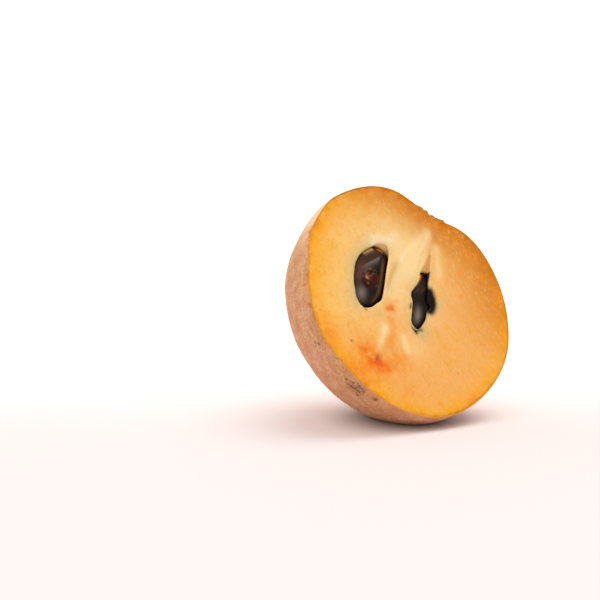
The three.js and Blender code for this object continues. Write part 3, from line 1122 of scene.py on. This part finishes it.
class AddSkin(bpy.types.Operator):
    """Models the thin rough skin, with its cut rim, stem hollow and blossom scar"""

    bl_idname = "sapodilla.add_skin"
    bl_label = "Skin"

    def execute(self, context):
        look = context.scene.sapodilla_skin
        outside = fruit_bowl("skin", no_inset, look.sides, look.rings)
        inside = fruit_bowl("skin_inside", skin_depth, look.sides, 16)
        only(inside)
        bpy.ops.object.mode_set(mode="EDIT")
        bpy.ops.mesh.select_all(action="SELECT")
        bpy.ops.mesh.flip_normals()
        bpy.ops.object.mode_set(mode="OBJECT")
        outer_count = len(outside.data.vertices)
        only(outside)
        inside.select_set(True)
        bpy.ops.object.join()
        skin = bpy.context.object
        close_rim(skin, bridge=True)
        self.shape(skin, look, np.arange(len(skin.data.vertices)) < outer_count)
        finish_piece(skin, "skin", skin_material())
        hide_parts("fruit_half")
        return {"FINISHED"}

    def shape(self, skin, look, outer):
        points = read_points(skin)
        direction = points / np.linalg.norm(points, axis=1)[:, None]
        from_cut = (CUT_OFFSET - points[:, 2]) / MM
        turn = np.degrees(np.arctan2(direction[:, 1], -direction[:, 0]))
        ragged = np.clip(0.5 + 0.9 * noise_at(points, 1.5 * MM, 11), 0, 1)
        torn = smooth_step(0.0, 0.3, self.torn_width(turn, ragged) - from_cut) * outer
        relief = self.relief(points, look) + torn * (ragged - 0.5) * look.scrape_height
        height = points @ TURN.T[:, 2] + SEAT_HEIGHT
        free = smooth_step(-0.1, 1.0, from_cut) * smooth_step(0.05 * MM, 1.5 * MM, height) * outer
        crumbs = self.ragged_edge(turn, from_cut, ragged) * outer
        shift = direction * (relief * free + self.scar_relief(direction) * outer)[:, None]
        shift += crumbs[:, None] * look.crumb_height * (direction + np.array([0, 0, 1.0]))
        write_points(skin, points + shift)
        write_mask(skin, "scar", self.scar_stain(direction))
        write_mask(skin, "speck", self.specks(turn, from_cut))
        write_mask(skin, "scrape", torn)
        write_mask(skin, "raw", torn * smooth_step(0.35, 0.75, 0.5 + noise_at(points, 2.2 * MM, 13)))
        write_mask(skin, "crumbs", 1.5 * crumbs)
        write_mask(skin, "cut_edge", smooth_step(0.3, 0.05, from_cut) + ~outer)
        write_mask(skin, "pale", self.highlight_and_scurf_zone(points, turn, from_cut))
        write_grain(skin, points)

    def highlight_and_scurf_zone(self, points, turn, from_cut):
        """Paler skin beside the cut at the upper left, with a cloudy edge: mostly a painted highlight where
        the light falls, partly dry scurf.
        """
        drift = noise_at(points, 6 * MM, 15) + 0.5 * noise_at(points, 2 * MM, 16)
        edge = turn + 14 * drift
        beside_cut = smooth_step(14, 2, from_cut + 4 * drift)
        return smooth_step(-20, 10, edge) * smooth_step(66, 34, edge) * beside_cut

    def torn_width(self, turn, ragged):
        """How far from the cut the skin is scraped off, in millimetres, by the turn from the left edge."""
        side = smooth_step(-52, -38, turn) * smooth_step(10, -6, turn)
        low = 0.35 * smooth_step(-66, -58, turn) * smooth_step(-44, -50, turn)
        return (0.4 + 3.4 * ragged ** 1.5) * np.maximum(side, low)

    def ragged_edge(self, turn, from_cut, ragged):
        """Crumbs of skin that stand past the cut at the stem hollow."""
        beside_stem = smooth_step(66, 73, turn) * smooth_step(93, 87, turn)
        return beside_stem * smooth_step(1.2, 0.2, from_cut) * ragged

    def specks(self, turn, from_cut):
        """Small dark specks, placed by the turn from the left edge and the distance from the cut."""
        marks = np.zeros(len(turn))
        for at, below, size in SKIN_SPECKS:
            away = ((turn - at) * 0.6) ** 2 + ((from_cut - below) * 0.8) ** 2
            marks += np.exp(-away / size ** 2)
        return marks

    def relief(self, points, look):
        swell = (noise_at(points, 9 * MM, 5) - 0.4) * look.swell_height
        grains = 0.7 * noise_at(points, 1.6 * MM, 6) + noise_at(points, 0.8 * MM, 7)
        return swell + grains * look.scurf_height

    def scar_relief(self, direction):
        """The woody stem scar with its raised ring, and the blunt blossom tip."""
        from_stem = np.linalg.norm(direction - STEM, axis=1) * 31
        from_tip = np.linalg.norm(direction - BLOSSOM, axis=1) * 38
        ring = smooth_step(2.7, 2.0, from_stem) - 0.7 * smooth_step(1.4, 0.4, from_stem)
        return (0.9 * ring + 0.8 * np.exp(-(from_tip / 1.0) ** 2)) * MM

    def scar_stain(self, direction):
        middle = BLOSSOM + np.array([0.0, 0.0, -0.03])
        from_tip = np.linalg.norm(direction - middle, axis=1) * 38
        from_stem = np.linalg.norm(direction - STEM, axis=1) * 31
        return 0.9 * smooth_step(5.0, 0.8, from_tip) + smooth_step(3.2, 2.2, from_stem)


# Painted highlights on the wet pulp of the left seed: place, size and strength
PULP_GLINTS = [
    (-1.0, -1.8, 0.44, 0.75),
    (-1.5, -0.7, 0.30, 0.35),
    (0.9, 0.1, 0.24, 0.25),
    (-0.5, -3.6, 0.34, 0.35),
]
UPPER_EDGE = [(0.1, 9.7), (-1.0, 8.5), (-2.2, 7.4), (-3.6, 5.9)]


def above_band(spot):
    """Millimetres above the slanting line where the left seed's stem end begins to fall away."""
    return (spot[:, 1] - 4.6) * 0.70 - (spot[:, 0] - 0.4) * 0.71


class AddSeeds(bpy.types.Operator):
    """Models both seeds with their ridge, facets and clinging pulp"""

    bl_idname = "sapodilla.add_seeds"
    bl_label = "Seeds"

    def execute(self, context):
        look = context.scene.sapodilla_seed
        material = seed_material()
        for name, matrix in SEEDS.items():
            seed = seed_body(name + "_piece", 0.0, look.sides, look.rings)
            spot = read_points(seed) / MM
            front = smooth_step(0, 1, spot[:, 2])
            masks = self.left_masks(spot) if name == "seed_left" else self.right_masks(spot)
            self.shape(seed, look, spot, front, masks["pulp"] * front)
            for mask_name, values in masks.items():
                write_mask(seed, mask_name, values * smooth_step(-0.5, 0.2, spot[:, 2]))
            write_grain(seed, spot * MM)
            seed.data.transform(matrix)
            finish_piece(seed, name + "_piece", material)
            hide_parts(name)
        return {"FINISHED"}

    def shape(self, seed, look, spot, front, pulp):
        points = spot * MM
        fall = smooth_step(2.6, 4.6, spot[:, 0])
        flat = np.clip(above_band(spot) / 3.0, 0, 1)
        bumps = np.clip(noise_at(points, 0.8 * MM, 9) + 0.25, 0, None)
        points[:, 2] -= front * (fall * look.ridge + flat * look.facet)
        points[:, 2] += pulp * bumps * 0.35 * MM
        write_points(seed, points)

    def left_masks(self, spot):
        strip = stroke(spot, [(3.6, 7.6), (4.0, 2.0), (4.4, -2.0), (4.3, -5.5), (3.6, -8.0)], 0.85, 0.25)
        facet = smooth_step(-0.1, 0.5, above_band(spot)) * smooth_step(3.4, 2.4, spot[:, 0])
        band = np.exp(-(np.clip(-above_band(spot), 0, None) / 1.1) ** 1.5) * (1 - facet)
        band *= smooth_step(-4.4, -1.5, spot[:, 0]) * smooth_step(2.9, 1.8, spot[:, 0])
        sheen = blob(spot, -1.6, -7.3, 1.65, 2.3, 14)
        uneven = noise_at(spot, 1.3, 21)[:, None]
        left_slope = smooth_step(-1.6, -3.0, spot[:, 0]) * smooth_step(-4.5, -1.0, spot[:, 1])
        dropped = spot + 0.35 * noise_at(spot, 0.5, 23)[:, None]
        pulp_glints = sum(strength * blob(dropped, x, y, size) for x, y, size, strength in PULP_GLINTS)
        return {
            # Painted reflections on the glossy coat: olive on the facet, the strip beside the ridge, the grey
            # band and sheen, and reddish patches
            "facet_reflection": 0.85 * facet,
            "strip_reflection": strip,
            "sheen_reflection": 0.55 * band + 0.75 * sheen,
            "red_reflection": 0.8 * blob(spot, -3.6, -1.6, 1.3, 3.0) + 0.45 * blob(spot, 3.1, -7.9, 1.0, 1.4)
            + 0.35 * blob(spot, -1.5, 1.2, 2.2, 1.2),
            "matt": np.maximum(left_slope, facet),
            "pulp": smooth_step(0.30, 0.55, blob(spot + 0.5 * uneven, 0.3, -1.9, 3.0, 3.4)),
            "glint": pulp_glints,
            "pith": 0.9 * stroke(spot, UPPER_EDGE, 0.75, 0.15),
            # Painted glow: faint on the pulp, and along the top right edge where light comes through
            "ember": 0.13 * blob(spot, -0.7, -1.4, 1.2, 1.0)
            + 0.7 * stroke(spot, [(1.1, 9.6), (2.6, 9.5), (3.9, 8.9)], 0.25, 0.2),
        }

    def right_masks(self, spot):
        glow = stroke(spot, [(-1.5, 9.4), (-1.8, 7.6), (-2.4, 5.8)], 0.45, 0.3)
        glow += 0.35 * stroke(spot, [(-2.0, 7.0), (-2.9, 4.6), (-4.0, 2.8)], 0.55, 0.25)
        keel = stroke(spot, [(0.5, 4.6), (-1.7, 1.2)], 0.14, 0.3)
        return {
            "facet_reflection": np.zeros(len(spot)),
            # Painted highlight along the keel, a painted grey sheen low down, and a faint painted reddish
            # reflection
            "strip_reflection": 0.9 * keel,
            "sheen_reflection": 0.8 * blob(spot, -1.4, -6.6, 1.2, 2.6, 4),
            "red_reflection": 0.25 * blob(spot, -2.4, 2.0, 1.6, 2.0),
            "matt": smooth_step(0.5, 3.0, spot[:, 1]),
            "pulp": np.zeros(len(spot)),
            # Painted highlight at the nick
            "glint": 0.5 * blob(spot, 1.6, -1.0, 0.35, 0.3),
            "pith": np.zeros(len(spot)),
            "ember": glow,
        }


class SetStage(bpy.types.Operator):
    """Sets the pale floor, the soft lights and the camera"""

    bl_idname = "sapodilla.set_stage"
    bl_label = "Stage"

    def execute(self, context):
        look = context.scene.sapodilla_studio
        self.floor(look)
        self.key_light(context.scene, look)
        self.room(context.scene, look)
        self.camera(context.scene, look)
        context.scene.view_settings.view_transform = "Standard"
        return {"FINISHED"}

    def floor(self, look):
        bpy.ops.object.select_all(action="DESELECT")
        bpy.ops.mesh.primitive_plane_add(size=90, location=(0, 0, 0))
        floor = bpy.context.object
        floor.name = "floor"
        material, tree = new_material("floor")
        spot = put(tree, "ShaderNodeTexCoord").outputs["Object"]
        from_camera = (-math.sin(look.azimuth), math.cos(look.azimuth), 0)
        away = put(tree, "ShaderNodeVectorMath", {0: spot, 1: from_camera}, operation="DOT_PRODUCT")
        shade = blend(tree, ramp(tree, away.outputs["Value"], -0.03, 0.25), look.floor, look.far_floor)
        open_sky = put(tree, "ShaderNodeAmbientOcclusion", {"Distance": SHADE_REACH}).outputs["AO"]
        floor.data.materials.append(finish_material(
            material, tree,
            Base_Color=shade,
            Roughness=0.8,
            Specular_IOR_Level=0.1,
            Emission_Color=look.floor_glow,
            Emission_Strength=ramp(tree, open_sky, 0.0, 0.6),
        ))

    def key_light(self, scene, look):
        """A wide soft light from high up, a little to the right."""
        data = bpy.data.lights.new("key", "SUN")
        data.energy = look.sun
        data.angle = look.sun_width
        light = bpy.data.objects.new("key", data)
        scene.collection.objects.link(light)
        light.location = KEY_PLACE
        light.rotation_euler = light.location.to_track_quat("Z", "Y").to_euler()

    def room(self, scene, look):
        """A dim room with a bright ceiling and a bright backdrop."""
        world = bpy.data.worlds.new("studio")
        world.use_nodes = True
        tree = world.node_tree
        tree.nodes.clear()
        towards = put(tree, "ShaderNodeTexCoord").outputs["Generated"]
        way = put(tree, "ShaderNodeSeparateXYZ", {"Vector": towards}).outputs
        overhead = times(tree, ramp(tree, way["Z"], 0.5, 0.95), look.ceiling)
        behind = times(tree, ramp(tree, way["Y"], -0.25, 0.5), look.backdrop)
        before = times(tree, ramp(tree, way["Y"], -0.2, -0.8), look.front)
        strength = maths(tree, "ADD", maths(tree, "MAXIMUM", overhead, behind), before)
        strength = maths(tree, "ADD", strength, look.walls)
        lit = put(tree, "ShaderNodeBackground", {"Color": (1, 1, 1), "Strength": strength})
        white = put(tree, "ShaderNodeBackground", {"Color": (1, 1, 1), "Strength": 1.0})
        seen = put(tree, "ShaderNodeLightPath").outputs["Is Camera Ray"]
        mixed = put(tree, "ShaderNodeMixShader", {0: seen, 1: lit.outputs[0], 2: white.outputs[0]})
        put(tree, "ShaderNodeOutputWorld", {"Surface": mixed.outputs[0]})
        scene.world = world

    def camera(self, scene, look):
        data = bpy.data.cameras.new("camera")
        data.sensor_width = 36
        data.lens = look.lens
        camera = bpy.data.objects.new("camera", data)
        scene.collection.objects.link(camera)
        level = math.cos(look.elevation)
        back = Vector((math.sin(look.azimuth) * level, -math.cos(look.azimuth) * level,
                       math.sin(look.elevation)))
        right = Vector((math.cos(look.azimuth), math.sin(look.azimuth), 0))
        up = back.cross(right)
        face_middle = FRUIT_TO_WORLD @ Vector((-look.core_side, 0, CUT_OFFSET))
        aim = face_middle - right * look.aim_left - up * look.aim_down
        turn = Matrix((right, up, back)).transposed().to_4x4()
        camera.matrix_world = Matrix.Translation(aim + back * look.distance) @ turn
        scene.camera = camera


SETTINGS = {"skin": SkinLook, "flesh": FleshLook, "seed": SeedLook, "studio": StudioLook}
OPERATORS = (AddFlesh, AddSkin, AddSeeds, SetStage)


class SapodillaPanel(bpy.types.Panel):
    """Lists the pieces and their settings"""

    bl_idname = "VIEW3D_PT_sapodilla"
    bl_label = "Sapodilla"
    bl_space_type = "VIEW_3D"
    bl_region_type = "UI"
    bl_category = "Sapodilla"

    def draw(self, context):
        for operator in OPERATORS:
            self.layout.operator(operator.bl_idname)
        for name, group in SETTINGS.items():
            box = self.layout.box()
            for prop in group.__annotations__:
                box.prop(getattr(context.scene, "sapodilla_" + name), prop)


CLASSES = (*SETTINGS.values(), *OPERATORS, SapodillaPanel)


def register():
    for cls in CLASSES:
        bpy.utils.register_class(cls)
    for name, settings in SETTINGS.items():
        setattr(bpy.types.Scene, "sapodilla_" + name, PointerProperty(type=settings))


def unregister():
    for name in SETTINGS:
        delattr(bpy.types.Scene, "sapodilla_" + name)
    for cls in reversed(CLASSES):
        bpy.utils.unregister_class(cls)


def main():
    register()
    bpy.ops.sapodilla.add_flesh()
    bpy.ops.sapodilla.add_skin()
    bpy.ops.sapodilla.add_seeds()
    bpy.ops.sapodilla.set_stage()


if __name__ == "__main__":
    main()
